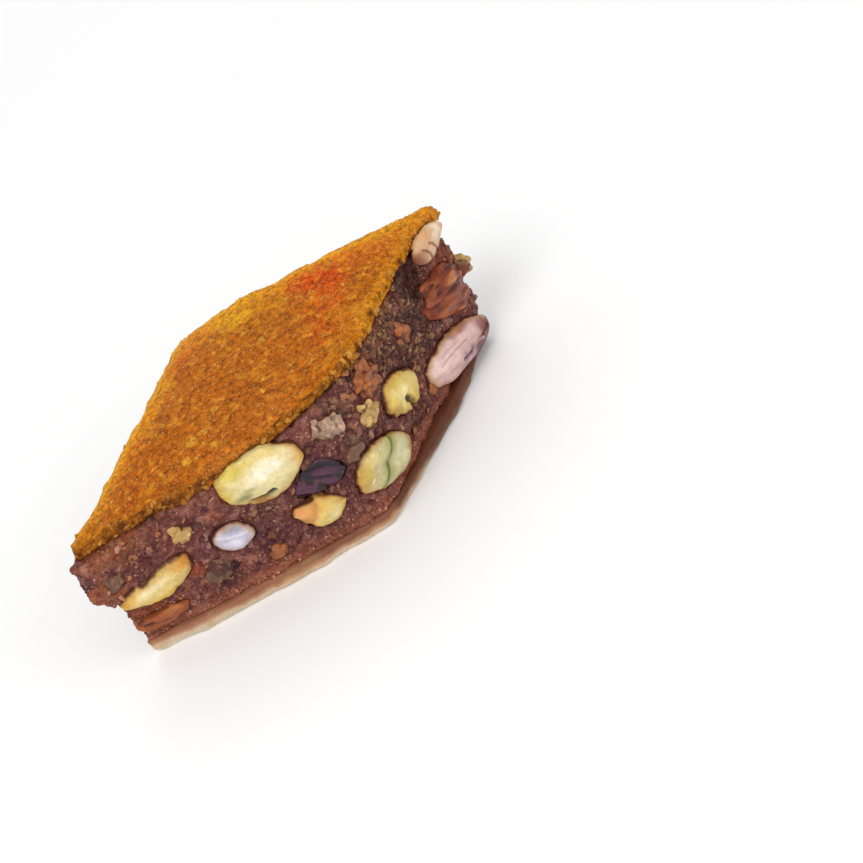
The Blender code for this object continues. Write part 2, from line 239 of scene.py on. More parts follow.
def grit(tree, coords, scale, detail, **settings):
    """A noise from 0 to 1 with so many features in a metre."""
    inputs = {"Vector": coords, "Scale": scale, "Detail": detail, **settings}
    return put(tree, "ShaderNodeTexNoise", inputs).outputs["Fac"]


def painted_colour(tree, fine, coarse, depth):
    """The painted colour of a surface, broken up by fine and coarse mottling. Sizes in millimetres."""
    coords = put(tree, "ShaderNodeTexCoord").outputs["Object"]
    own = put(tree, "ShaderNodeAttribute", attribute_name="colour").outputs["Color"]
    both = {0: grit(tree, coords, 1000 / fine, 3.0), 1: grit(tree, coords, 1000 / coarse, 2.0)}
    total = put(tree, "ShaderNodeMath", both, operation="ADD").outputs[0]
    spread = {"From Min": 0.6, "From Max": 1.4, "To Min": 1 - depth, "To Max": 1 + depth}
    lightness = put(tree, "ShaderNodeMapRange", {"Value": total, **spread})
    return coords, vectors(tree, "MULTIPLY", own, lightness.outputs["Result"])


def add_bump(tree, shader, height, strength, distance):
    """Gives the shader fine relief from a height, with its depth in millimetres."""
    bump = put(tree, "ShaderNodeBump", {"Height": height, "Strength": strength, "Distance": distance * MM})
    tree.links.new(bump.outputs["Normal"], shader.inputs["Normal"])


def dress(piece, material, slot_name, *nodes):
    """Finishes a piece: its material, the frame it rides on and the solids it stands for; the slot name is
    not used.
    """
    piece.data.materials.clear()
    piece.data.materials.append(material)
    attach(piece, "root")
    if nodes:
        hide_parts(*nodes)


base = fine_copy("base_crust", "base_dough", BASE_SPACING, 5)
base_points = points_of(base)
base_up = facing_of(base)[:, 2]
base_side = 1 - np.abs(base_up)
base_relief = (
    0.10 * waves(base_points, 2.2, 1)
    + base_side * (0.16 * waves(base_points, 1.1, 2) + 0.14 * (grains(base_points, 0.9, 1) - 0.6))
    + 0.05
    + 0.3 * step(2.4, 3.4, base_points[:, 2]) * step(0.1, 0.5, base_side)
)
raise_surface(base, base_relief * step(-0.95, -0.6, base_up))
base_x, base_y, base_z = base_points.T
base_height = base_z + 0.45 * waves(base_points, 2.4, 3) + 0.7 * step(*STAIN_START, base_x) - 0.3
base_colours = coat(
    plain(base_points, (212, 188, 160)),
    ((224, 212, 190), step(0.9, 0.0, base_height)),
    ((178, 128, 92), step(1.3, 2.3, base_height)),
    # The top band of the stain is kept paler, partly stain and partly painted light against the shade in the
    # joint with the filling.
    ((152, 100, 74), step(2.1, 3.1, base_height)),
    ((198, 162, 112), 0.6 * step(0.1, 0.6, waves(base_points, 5.0, 4))),
    ((118, 72, 56), 0.6 * step(2.4, 3.2, base_height) * step(-20.0, -12.0, base_x)),
)
# Front-right side: a darker copy of the base colours, partly baked colour and partly painted shade of a side
# turned from the lamps; towards the tip it darkens further, partly stain and partly painted shadow.
stain_and_shadow = step(8.0, 19.0, base_x + 2.0 * waves(base_points, 3.0, 5) + 2.5 * (base_height - 1.2))
right_base_shaded = coat(
    plain(base_points, (204, 176, 148)),
    ((152, 108, 80), step(0.9, 1.9, base_height)),
    ((96, 50, 32), step(1.8, 2.6, base_height)),
    ((88, 42, 22), 0.9 * stain_and_shadow),
)
base_front_right = step(1.0, 4.0, base_x) * step(4.0, -3.0, base_y)
base_colours = base_colours + (right_base_shaded - base_colours) * (0.9 * base_front_right)[:, None]
paint(base, base_colours)
dough, dough_tree, dough_shader = new_surface(
    "base_dough",
    0.62,
    Subsurface_Weight=0.2,
    Subsurface_Radius=(1.6, 0.9, 0.5),
    Subsurface_Scale=MM,
    Specular_IOR_Level=0.2,
)
dough_coords, dough_colour = painted_colour(dough_tree, 0.5, 2.5, 0.16)
dough_tree.links.new(dough_colour, dough_shader.inputs["Base Color"])
add_bump(dough_tree, dough_shader, grit(dough_tree, dough_coords, 2600.0, 4.0), 0.5, 0.25)
dress(base, dough, "base_pastry", "base_crust")


# Nut filling
# Ground walnuts, almonds and pistachios bound with butter and dark saffron syrup, packed about 24 mm
# deep. The knife leaves a moist wall of coarse crumb, with grains from dust to 1.5 mm, in its pockets
# for the whole nuts.
FILLING_SPACING = 0.37
PASTE_DEPTH = np.array([0.95, 0.77, 0.82])
TAIL, FRONT, TIP, BACK = np.array(
    [(-45.91, -1.58, 0.0), (0.09, -22.08, 0.0), (46.09, -1.58, 0.0), (0.09, 23.12, 0.0)]
)
CUT_FACES = {
    "front_left": (TAIL, FRONT),
    "front_right": (FRONT, TIP),
    "back_right": (TIP, BACK),
    "back_left": (BACK, TAIL),
}
NUT_NODES = sorted(set(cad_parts) - {"base_crust", "nut_filling", "top_crust"})
CHIP_GROUPS = {
    "grey_chips": (
        (166, 134, 112),
        ((5, "front_right", 2.6, 23.4, 4.6, 2.8), (4, "front_left", 48.2, 24.4, 4.4, 3.2)),
    ),
    "dull_chips": (
        (112, 80, 60),
        (
            (0, "front_left", 3.4, 20.4, 4.4, 0.4),
            (1, "front_left", 19.5, 10.8, 4.6, 0.5),
            (6, "front_right", 1.0, 18.6, 4.6, 0.8),
            (12, "back_right", 23.4, 6.6, 3.6, 0.5),
            (16, "back_left", 5.4, 9.6, 4.2, 0.7),
        ),
    ),
    "yellow_chips": (
        (186, 150, 92),
        (
            (7, "front_right", 9.2, 19.6, 5.0, 0.8),
            (3, "front_left", 17.6, 21.8, 3.8, 0.5),
            (11, "back_right", 22.4, 19.6, 4.6, 0.7),
            (14, "back_left", 26.0, 20.6, 4.8, 0.8),
            (17, "back_right", 0.6, 16.4, 5.0, 0.2),
        ),
    ),
    "orange_chips": (
        (152, 88, 50),
        (
            (8, "front_right", 13.6, 23.6, 6.6, 1.4),
            (2, "front_left", 30.4, 7.8, 3.4, 0.4),
            (9, "front_right", 27.0, 21.6, 4.4, 0.9),
            (10, "front_right", 27.4, 8.4, 3.4, 0.5),
            (13, "back_right", 42.4, 19.8, 4.6, 0.8),
            (15, "back_left", 40.4, 9.4, 4.6, 0.7),
        ),
    ),
}
PASTE_PATCHES = {
    "front_left": (
        (1.0, 17.0, 7.0, 0.8, (166, 98, 50), 0.85),
        (4.0, 10.0, 6.0, 1.2, (152, 84, 44), 0.8),
        (16.2, 13.7, 2.6, 0.7, (166, 78, 44), 0.85),
        (6.0, 26.5, 4.0, 2.2, (168, 102, 48), 0.7),
        (17.0, 26.8, 2.6, 2.4, (146, 92, 60), 0.6),
        (33.0, 10.4, 5.0, 2.0, (76, 40, 54), 0.9),
        (29.0, 14.6, 3.6, 1.4, (66, 40, 52), 0.85),
        (20.5, 17.4, 3.4, 1.2, (96, 60, 74), 0.8),
        (36.0, 4.9, 2.4, 4.0, (92, 52, 56), 0.6),
        (47.5, 9.0, 4.4, 0.9, (86, 50, 56), 0.7),
        (32.0, 17.6, 2.0, 2.4, (40, 22, 22), 0.75),
        (22.6, 9.8, 1.3, 0.8, (14, 8, 20), 1.0),
        (24.1, 22.0, 1.4, 0.7, (168, 92, 52), 0.8),
        (10.5, 20.5, 5.0, 2.4, (112, 62, 58), 0.6),
        (16.0, 7.6, 3.0, 2.6, (96, 54, 50), 0.6),
        (30.0, 5.0, 2.4, 6.0, (142, 86, 66), 0.6),
        (46.5, 7.0, 4.0, 1.0, (104, 64, 56), 0.6),
        (43.0, 17.0, 6.0, 1.3, (52, 28, 42), 0.9),
        (50.0, 14.0, 5.0, 0.8, (78, 44, 52), 0.7),
        (47.0, 19.0, 4.0, 1.0, (66, 36, 50), 0.85),
    ),
    "front_right": (
        (2.0, 15.4, 5.0, 1.0, (62, 32, 48), 0.95),
        (6.5, 17.2, 3.0, 1.2, (60, 32, 40), 0.85),
        (27.0, 19.0, 8.0, 1.8, (58, 30, 32), 0.9),
        (24.0, 27.0, 3.0, 3.0, (134, 92, 54), 0.75),
        (16.0, 27.5, 4.0, 1.6, (132, 80, 52), 0.6),
        (31.0, 15.0, 5.0, 1.0, (58, 22, 30), 0.9),
        # Painted shade: the hollow under the crust near the tip, painted near black.
        (38.0, 25.4, 5.0, 1.4, (20, 6, 14), 1.0),
        (13.5, 15.5, 4.0, 0.9, (58, 34, 42), 0.85),
        (1.0, 20.0, 5.0, 1.0, (92, 56, 54), 0.6),
        (3.0, 26.0, 5.0, 1.4, (110, 78, 64), 0.6),
        (20.0, 6.4, 4.0, 3.4, (76, 34, 24), 0.9),
        (2.0, 6.0, 4.0, 1.4, (124, 72, 56), 0.6),
        (46.0, 9.0, 4.0, 1.0, (98, 40, 34), 0.7),
        (46.5, 22.5, 6.0, 1.0, (132, 64, 42), 0.8),
        (49.0, 17.0, 4.5, 0.8, (168, 92, 44), 0.8),
    ),
    "back_right": (
        (2.0, 20.0, 6.0, 0.8, (140, 74, 44), 0.7),
    ),
}


def nearest_on(points, nodes):
    """Nearest place to each point on some solids of the frame, and its distance, in millimetres."""
    trees = []
    for node in nodes:
        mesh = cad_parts[node].data
        corners = [v.co / MM for v in mesh.vertices]
        trees.append(BVHTree.FromPolygons(corners, [tuple(p.vertices) for p in mesh.polygons]))
    found = []
    for point in points.tolist():
        found.append(min((tree.find_nearest(Vector(point)) for tree in trees), key=lambda hit: hit[3]))
    return np.array([hit[0] for hit in found]), np.array([hit[3] for hit in found])


def face_ways(face):
    """A cut face's start, the way along it and the way out of it."""
    start, end = CUT_FACES[face]
    along = (end - start) / np.linalg.norm(end - start)
    return start, along, np.array([along[1], -along[0], 0.0])


def inside(points, face):
    """Distance in plan of each point inwards from a cut face, in millimetres."""
    start, _, out = face_ways(face)
    return (start - points) @ out


class FacePlace:
    """Where a nut or chip sits: its cut face, the way along it, its height, its size and its turn."""

    def __init__(self, face, run, height, length, width, turn):
        start, flat_way, self.out = face_ways(face)
        turned = math.radians(turn)
        upright = np.array([0.0, 0.0, 1.0])
        self.middle = start + flat_way * run + upright * height
        self.along = flat_way * math.cos(turned) + upright * math.sin(turned)
        self.across = upright * math.cos(turned) - flat_way * math.sin(turned)
        self.half_length = length / 2
        self.half_width = width / 2

    def local(self, points):
        """Places on the nut: -1 to 1 along it, -1 to 1 across it, and millimetres outwards."""
        moved = points - self.middle
        return moved @ self.along / self.half_length, moved @ self.across / self.half_width, moved @ self.out

    def drawn_out(self, points, along_share, across_share, out_share=1.0):
        """The points in millimetres on the nut, shrunk by a share in each direction."""
        along, across, out = self.local(points)
        return np.column_stack(
            [along * self.half_length * along_share, across * self.half_width * across_share, out * out_share]
        )


def chip_distance(points):
    """Distance from each point to the nearest chip's surface, about, in millimetres."""
    nearest = np.full(len(points), 99.0)
    for _, chips in CHIP_GROUPS.values():
        for seed, face, run, height, size, behind in chips:
            place = FacePlace(face, run, height, size, size, 0)
            middle = place.middle - place.out * behind
            nearest = np.minimum(nearest, np.linalg.norm(points - middle, axis=1) - size / 2)
    return nearest


def face_patch(points, face, run, height, reach, stretch=1.0):
    """1 inside a patch of a cut face, with a ragged soft edge. Stretch makes it longer along the face."""
    start, along, _ = face_ways(face)
    away = np.hypot(((points - start) @ along - run) / stretch, points[:, 2] - height)
    away = away + 0.4 * reach * waves(points, 0.45 * reach, int(run * 7 + height * 3) + 300)
    return step(reach, 0.45 * reach, away) * step(7.0, 3.0, inside(points, face))


filling = fine_copy("nut_filling", "nut_paste", FILLING_SPACING, 3)
paste_points = points_of(filling)
paste_facing = facing_of(filling)
nut_near, nut_distance = nearest_on(paste_points, NUT_NODES)
chip_away = chip_distance(paste_points)
nut_free = step(0.3, 1.3, nut_distance + 0.35 * waves(paste_points, 1.3, 9)) * step(-0.1, 0.6, chip_away)
# A hollow pushed into the wall under the crust near the tip; the near-black patch painted there is painted
# shade in it.
hollow = face_patch(paste_points, "front_right", 38.0, 25.4, 4.0, 1.4)
left_wall = step(0.4, 0.8, paste_facing @ face_ways("front_left")[2])
right_wall = step(0.3, 0.8, paste_facing @ face_ways("front_right")[2])
paste_z = paste_points[:, 2]
raise_surface(
    filling,
    nut_free
    * (1 - 0.5 * left_wall)
    * (
        0.50 * (grains(paste_points, 2.3, 2) - 0.6)
        + 0.24 * (grains(paste_points, 1.1, 3) - 0.6)
        + 0.34 * waves(paste_points, 3.4, 5)
    )
    + 0.14
    + 0.2 * step(1.6, 0.8, nut_distance) * waves(paste_points, 1.6, 10)
    + 0.32 * step(5.6, 4.1, paste_z)
    - 1.5 * hollow
    - 0.3 * step(0.5, -0.3, chip_away),
)
hugging = points_of(filling)
move_to(filling, hugging + (nut_near - hugging) * (0.9 * step(1.0, 0.45, nut_distance))[:, None])
paste_open = nut_free * step(0.75, 0.45, np.abs(paste_facing[:, 2]))
crown_open = step(0.35, 1.0, nearest_on(paste_points, ["top_crust"])[1]) * step(24.0, 26.5, paste_z)
paste_open = np.maximum(paste_open, nut_free * crown_open) * (1 - hollow)
veins = step(0.16, 0.04, np.abs(waves(paste_points, 5.0, 25))) * step(-0.2, 0.2, waves(paste_points, 7.0, 26))
light_share = (0.25 + 0.5 * left_wall - 0.1 * right_wall) * step(0.12, 0.4, waves(paste_points, 2.0, 8))
paste_colours = coat(
    plain(paste_points, (84, 42, 36)),
    # The right wall is painted darker and the left wall lighter: painted shade and painted light for how the
    # lamps fall on the two walls, over the paste's own colour.
    ((68, 32, 30), right_wall),
    ((132, 84, 74), left_wall),
    ((64, 34, 42), 0.85 * step(0.05, 0.35, waves(paste_points, 4.5, 7))),
    ((88, 48, 60), 0.75 * step(0.1, 0.4, waves(paste_points, 2.6, 18))),
    ((54, 24, 44), 0.75 * veins),
    ((180, 134, 114), light_share),
)
worn = 0.5 * step(0.0, 0.4, waves(paste_points, 2.2, 27))
for face, patches in PASTE_PATCHES.items():
    for run, height, reach, stretch, colour, share in patches:
        patch = face_patch(paste_points, face, run, height, reach, stretch)
        paste_colours = coat(paste_colours, (colour, share * patch * (1 - worn * (share < 1))))
paste_low = step(6.6, 4.4, paste_z + 0.8 * waves(paste_points, 2.4, 20))
paste_contact_shade = step(0.75, 0.3, nut_distance) * step(0.0, 0.4, waves(paste_points, 2.4, 17))
paste_colours = coat(
    paste_colours,
    ((196, 152, 120), 0.5 * step(0.3, 0.6, waves(paste_points, 1.0, 19))),
    # The two pale bands towards the bottom: partly the paste's own colour and partly painted light that lifts
    # the shade in the joint with the base crust; the lowest band is left off the right wall.
    ((160, 100, 72), 0.85 * paste_low),
    ((196, 136, 104), 0.7 * step(4.7, 4.0, paste_z) * (1 - right_wall)),
    # Painted shade: dark paste close to the nuts and, fainter, around the chips, where the parts meet.
    ((46, 20, 22), 0.7 * paste_contact_shade),
    ((60, 30, 28), 0.35 * step(0.7, 0.0, chip_away)),
)
paint(filling, paste_colours * PASTE_DEPTH)


def keep_share(piece, name, values):
    """Keeps a number at each vertex, for the scattered crumbs to read."""
    layer = piece.data.attributes.new(name, "FLOAT", "POINT")
    layer.data.foreach_set("value", np.clip(values, 0, 1))


def colour_ramp(tree, value, tones):
    """A value turned into colours, from pairs of a place on the scale and a colour as seen."""
    ramp = put(tree, "ShaderNodeValToRGB", {"Fac": value})
    for spot, colour in tones:
        ramp.color_ramp.elements.new(spot).color = (*seen(*colour), 1)
    ramp.color_ramp.elements.remove(ramp.color_ramp.elements[0])
    ramp.color_ramp.elements.remove(ramp.color_ramp.elements[-1])
    return ramp.outputs["Color"]


def cell_height(tree, coords, scale, cell_share, fine):
    """Height of small packed cells, so many in a metre, with a fine noise on top of them."""
    cells = put(tree, "ShaderNodeTexVoronoi", {"Vector": coords, "Scale": scale}).outputs["Distance"]
    parts = {0: cells, 1: -cell_share, 2: fine}
    return put(tree, "ShaderNodeMath", parts, operation="MULTIPLY_ADD").outputs[0]


keep_share(filling, "open", paste_open)
keep_share(filling, "coarse", paste_open * (1 - 0.5 * left_wall))
paste, paste_tree, paste_shader = new_surface("nut_paste", 0.34, Specular_IOR_Level=0.12)
paste_coords, paste_base = painted_colour(paste_tree, 0.45, 1.3, 0.6)
paste_kinds = colour_ramp(
    paste_tree,
    grit(paste_tree, paste_coords, 1250.0, 6.0, Roughness=0.68),
    (
        (0.30, (30, 8, 20)),
        (0.42, (76, 34, 36)),
        (0.52, (118, 66, 52)),
        (0.62, (164, 110, 82)),
        (0.74, (206, 160, 126)),
    ),
)
paste_mix = put(paste_tree, "ShaderNodeMix", {0: 0.34, 6: paste_base, 7: paste_kinds}, data_type="RGBA")
paste_tree.links.new(paste_mix.outputs[2], paste_shader.inputs["Base Color"])
paste_rise = cell_height(paste_tree, paste_coords, 1500.0, 0.7, grit(paste_tree, paste_coords, 2300.0, 5.0))
add_bump(paste_tree, paste_shader, paste_rise, 0.8, 0.35)
dress(filling, paste, "filling", "nut_filling")


# Glazed top crust
# The upper sheet of the same dough, brushed with egg and saffron before baking and with syrup after it,
# so it is thin, golden brown and shiny. It swells a little in the middle, and the knife has broken its
# rim into golden crumbs, most of all over the front corner.
CRUST_SPACING = 0.33
CRUST_DEPTH = np.array([0.88, 0.80, 0.24])
CRUST_PATCHES = (
    (25.0, 8.0, 10.5, (206, 72, 8), 0.95),
    (31.0, 3.0, 8.0, (204, 106, 30), 0.7),
    (15.1, -5.3, 7.0, (190, 92, 24), 0.7),
    (20.0, -2.0, 6.0, (204, 92, 22), 0.6),
    (40.0, -0.5, 7.0, (206, 122, 30), 0.8),
    (10.0, 17.5, 10.0, (230, 172, 10), 0.95),
    (1.0, 19.0, 6.0, (222, 138, 8), 0.9),
    (18.0, 13.2, 6.0, (206, 100, 6), 0.85),
    (14.0, 9.6, 5.0, (214, 142, 26), 0.8),
    (8.0, 6.0, 6.0, (178, 108, 20), 0.7),
    (-5.3, 17.6, 6.0, (196, 94, 10), 0.8),
    (-10.5, 15.6, 4.0, (226, 156, 12), 0.8),
    (-17.0, 12.4, 6.0, (214, 132, 14), 0.9),
    (-25.6, 8.5, 5.0, (210, 104, 8), 0.85),
    (-2.0, -2.0, 8.0, (170, 94, 38), 0.6),
    (-13.5, -8.0, 7.0, (176, 96, 36), 0.6),
    (-6.0, -15.6, 5.0, (198, 118, 66), 0.7),
    (-1.0, -17.4, 4.0, (206, 112, 52), 0.7),
    (12.0, -12.0, 5.0, (186, 116, 40), 0.7),
    (20.0, -9.0, 5.0, (196, 128, 48), 0.6),
    (-28.1, 3.0, 8.0, (182, 92, 12), 0.7),
    (-20.0, 3.0, 6.0, (168, 92, 24), 0.5),
    (-36.0, 1.0, 6.0, (178, 100, 26), 0.6),
    (-42.6, -1.8, 6.0, (190, 120, 28), 0.8),
)
CRUST_BRIGHT_SPOTS = (
    (-17.3, -3.0, 1.6),
    (-9.8, -1.2, 1.0),
    (-21.0, -6.0, 1.3),
    (-15.5, -8.0, 1.1),
    (6.2, 3.0, 0.9),
)


def soften(piece, share, passes):
    """Evens a surface out where the share is 1, by moving each vertex towards its neighbours."""
    points = points_of(piece)
    ends = np.empty(len(piece.data.edges) * 2, dtype=np.int32)
    piece.data.edges.foreach_get("vertices", ends)
    first, second = ends.reshape(-1, 2).T
    total = len(points)
    neighbours = np.bincount(ends, minlength=total)
    for _ in range(passes):
        sums = [
            np.bincount(first, points[second, axis], total) + np.bincount(second, points[first, axis], total)
            for axis in range(3)
        ]
        points += (np.column_stack(sums) / neighbours[:, None] - points) * (0.5 * share)[:, None]
    move_to(piece, points)


def plan_distance(points, place_x, place_y):
    """Distance in plan from each point to a place, in millimetres."""
    return np.hypot(points[:, 0] - place_x, points[:, 1] - place_y)


crust = fine_copy("top_crust", "glazed_crust", CRUST_SPACING, 3)
crust_up = facing_of(crust)[:, 2]
soften(crust, step(0.75, 0.95, crust_up), 40)
crust_points = points_of(crust)
crust_up = facing_of(crust)[:, 2]
crust_side = step(0.75, 0.35, np.abs(crust_up))
crust_top = step(0.5, 0.9, crust_up)
raise_surface(
    crust,
    crust_top * (0.09 * waves(crust_points, 4.5, 11) + 0.05 * waves(crust_points, 1.4, 12))
    + crust_top * 0.05 * (grains(crust_points, 0.8, 11) - 0.6)
    + crust_side * (0.45 * (grains(crust_points, 1.7, 12) - 0.6) + 0.30 * waves(crust_points, 1.2, 13))
    + crust_side * 0.6 * waves(crust_points, 3.6, 22)
    + 0.08,
)
crust_plan = crust_points.copy()
crust_plan[:, 2] = 0
crust_x, crust_y, _ = crust_points.T
crust_colours = plain(crust_points, (182, 102, 30))
for place_x, place_y, reach, colour, share in CRUST_PATCHES:
    away = plan_distance(crust_points, place_x, place_y)
    away = away + 0.35 * reach * waves(crust_plan, 0.5 * reach, int(place_x * 3 + 200))
    crust_colours = coat(crust_colours, (colour, share * step(reach, 0.35 * reach, away)))
crust_colours = coat(
    crust_colours,
    ((150, 74, 24), 0.5 * step(0.05, 0.5, waves(crust_plan, 2.8, 14))),
    ((220, 148, 66), 0.45 * step(0.1, 0.55, waves(crust_plan, 1.8, 15))),
    ((230, 184, 112), 0.55 * step(0.35, 0.65, waves(crust_plan, 1.0, 16))),
)
for place_x, place_y, reach in CRUST_BRIGHT_SPOTS:
    away = plan_distance(crust_points, place_x, place_y)
    crust_colours = coat(crust_colours, ((222, 172, 92), 0.7 * step(reach, 0.4 * reach, away)))
crust_rim = np.min([inside(crust_points, face) for face in CUT_FACES], axis=0)
crust_far = step(-2.0, 4.0, crust_y)
far_band = crust_far * step(5.0, 1.0, crust_rim + 1.6 * waves(crust_plan, 3.0, 28))
left_rim = inside(crust_points, "front_left")
left_edge = step(2.6, 0.0, left_rim + 1.3 * waves(crust_plan, 2.6, 21)) * step(-2.0, -14.0, crust_x)
pink_edge = step(5.0, 1.0, left_rim + 1.5 * waves(crust_plan, 3.0, 23)) * step(-26.0, -14.0, crust_x)
right_rim = inside(crust_points, "front_right") + 1.4 * waves(crust_plan, 2.6, 24)
gold_band = step(5.0, 2.6, right_rim) * step(14.0, 22.0, crust_x)
crust_facing = facing_of(crust)
left_cut = step(0.6, -0.4, crust_facing[:, 1]) * step(0.5, -0.2, crust_facing[:, 0]) * crust_side
crust_colours = coat(
    crust_colours,
    ((226, 152, 26), 0.5 * far_band),
    ((226, 164, 22), 0.8 * crust_far * step(1.6, 0.3, crust_rim)),
    ((200, 138, 48), 0.75 * crust_side),
    ((142, 88, 58), 0.8 * left_edge),
    ((206, 128, 84), 0.6 * pink_edge * step(2.0, -2.0, crust_x)),
    ((212, 142, 62), 0.6 * gold_band),
    ((150, 88, 50), 0.9 * left_cut),
    ((104, 60, 46), 0.9 * left_cut * step(-0.2, 0.3, waves(crust_points, 1.6, 18))),
    ((150, 90, 44), 0.6 * step(-0.4, -0.8, crust_up)),
)
paint(crust, crust_colours * CRUST_DEPTH)
glaze, glaze_tree, glaze_shader = new_surface("crust_glaze", 0.4, Specular_IOR_Level=0.05)
glaze_coords, glaze_colour = painted_colour(glaze_tree, 0.28, 0.9, 0.8)
glaze_tree.links.new(glaze_colour, glaze_shader.inputs["Base Color"])
glaze_rise = cell_height(glaze_tree, glaze_coords, 1900.0, 0.6, grit(glaze_tree, glaze_coords, 2300.0, 3.0))
add_bump(glaze_tree, glaze_shader, glaze_rise, 0.6, 0.22)
dress(crust, glaze, "glazed_crust", "top_crust")


# Shelled pistachios and pale nut pieces
# Whole kernels and broken pieces with their thin skins rubbed off: cream inside, yellower where the
# syrup has soaked in, with golden ends and a few grey-green scratches. They are held by the paste.
# The large pistachio has a painted highlight on its middle and painted grey-green shade on its lower
# side, and the dark crevices in the large and the square pistachio are painted shade in them.
NUT_SPACING = 0.25


def nut_colours(points, place, ground, patches):
    """A nut's colour at each vertex, from its ground colour and soft-edged patches."""
    along, across, _ = place.local(points)
    colours = plain(points, ground)
    for number, (x, y, reach_x, reach_y, colour, share) in enumerate(patches):
        away = np.hypot((along - x) / reach_x, (across - y) / reach_y) + 0.4 * waves(points, 1.7, number + 20)
        colours = coat(colours, (colour, share * step(1.15, 0.15, away)))
    return colours


def line_share(points, place, ends, bow, width):
    """1 along a line drawn on a nut between two local places, fading to 0 at its width in millimetres."""
    along, across, _ = place.local(points)
    flat_places = np.column_stack([along * place.half_length, across * place.half_width])
    start, end = (np.array([x * place.half_length, y * place.half_width]) for x, y in ends)
    way = (end - start) / np.linalg.norm(end - start)
    run = np.clip((flat_places - start) @ way / np.linalg.norm(end - start), 0, 1)
    line = start + np.outer(run, end - start) + np.outer(4 * bow * run * (1 - run), (-way[1], way[0]))
    off = np.linalg.norm(flat_places - line, axis=1) + 0.25 * width * waves(points, 1.0, 31)
    return step(width, 0.15 * width, off)


def draw_lines(points, place, colours, lines, strength):
    """A nut's colours with lines drawn on it, and how deep the lines lie in millimetres."""
    depths = np.zeros(len(points))
    for ends, bow, width, depth, colour in lines:
        mark = line_share(points, place, ends, bow, width)
        colours = coat(colours, (colour, strength * mark))
        depths += depth * mark
    return colours, depths


def smear(points, colours):
    """Syrup soaked into a nut's edge, and paste that the knife dragged over its rim."""
    ragged = 0.5 * waves(points, 1.5, 33) + 0.2 * waves(points, 0.6, 34)
    buried = nearest_on(points, ["nut_filling"])[1] + ragged
    return coat(
        colours,
        ((208, 158, 76), 0.6 * step(2.2, 0.8, buried)),
        ((140, 84, 52), 0.8 * step(1.15, 0.5, buried)),
        ((80, 38, 34), 0.85 * step(0.75, 0.4, buried)),
    )


def nut_piece(node, place_values, relief, passes=7):
    """A fine copy of a nut, rounded and softly uneven, with its place and its points."""
    piece = fine_copy(node, node + "_kernel", NUT_SPACING, 4)
    soften(piece, np.ones(len(piece.data.vertices)), passes)
    points = points_of(piece)
    raise_surface(piece, relief * (waves(points, 2.2, 41) + 0.6 * waves(points, 0.9, 42)) + 0.08)
    return piece, FacePlace(*place_values), points_of(piece)


def finish_nut(node, kernel, colours, heights, material, slot_name):
    """Paints a nut, gives it its last relief and dresses it in place of its solid."""
    paint(kernel, colours)
    raise_surface(kernel, heights)
    dress(kernel, material, slot_name, node)


def kernel_surface(name, roughness, depth, scatter, film):
    """The look of a nut kernel: waxy, slightly see-through, with fine scratches and a film of syrup."""
    material, tree, shader = new_surface(
        name,
        roughness,
        Subsurface_Weight=scatter,
        Subsurface_Radius=(1.5, 1.0, 0.5),
        Subsurface_Scale=MM,
        Coat_Weight=film,
        Coat_Roughness=0.18,
        Specular_IOR_Level=0.2,
    )
    coords, colour = painted_colour(tree, 0.6, 2.2, depth)
    tree.links.new(colour, shader.inputs["Base Color"])
    add_bump(tree, shader, grit(tree, coords, 1500.0, 5.0), 0.4, 0.3)
    return material


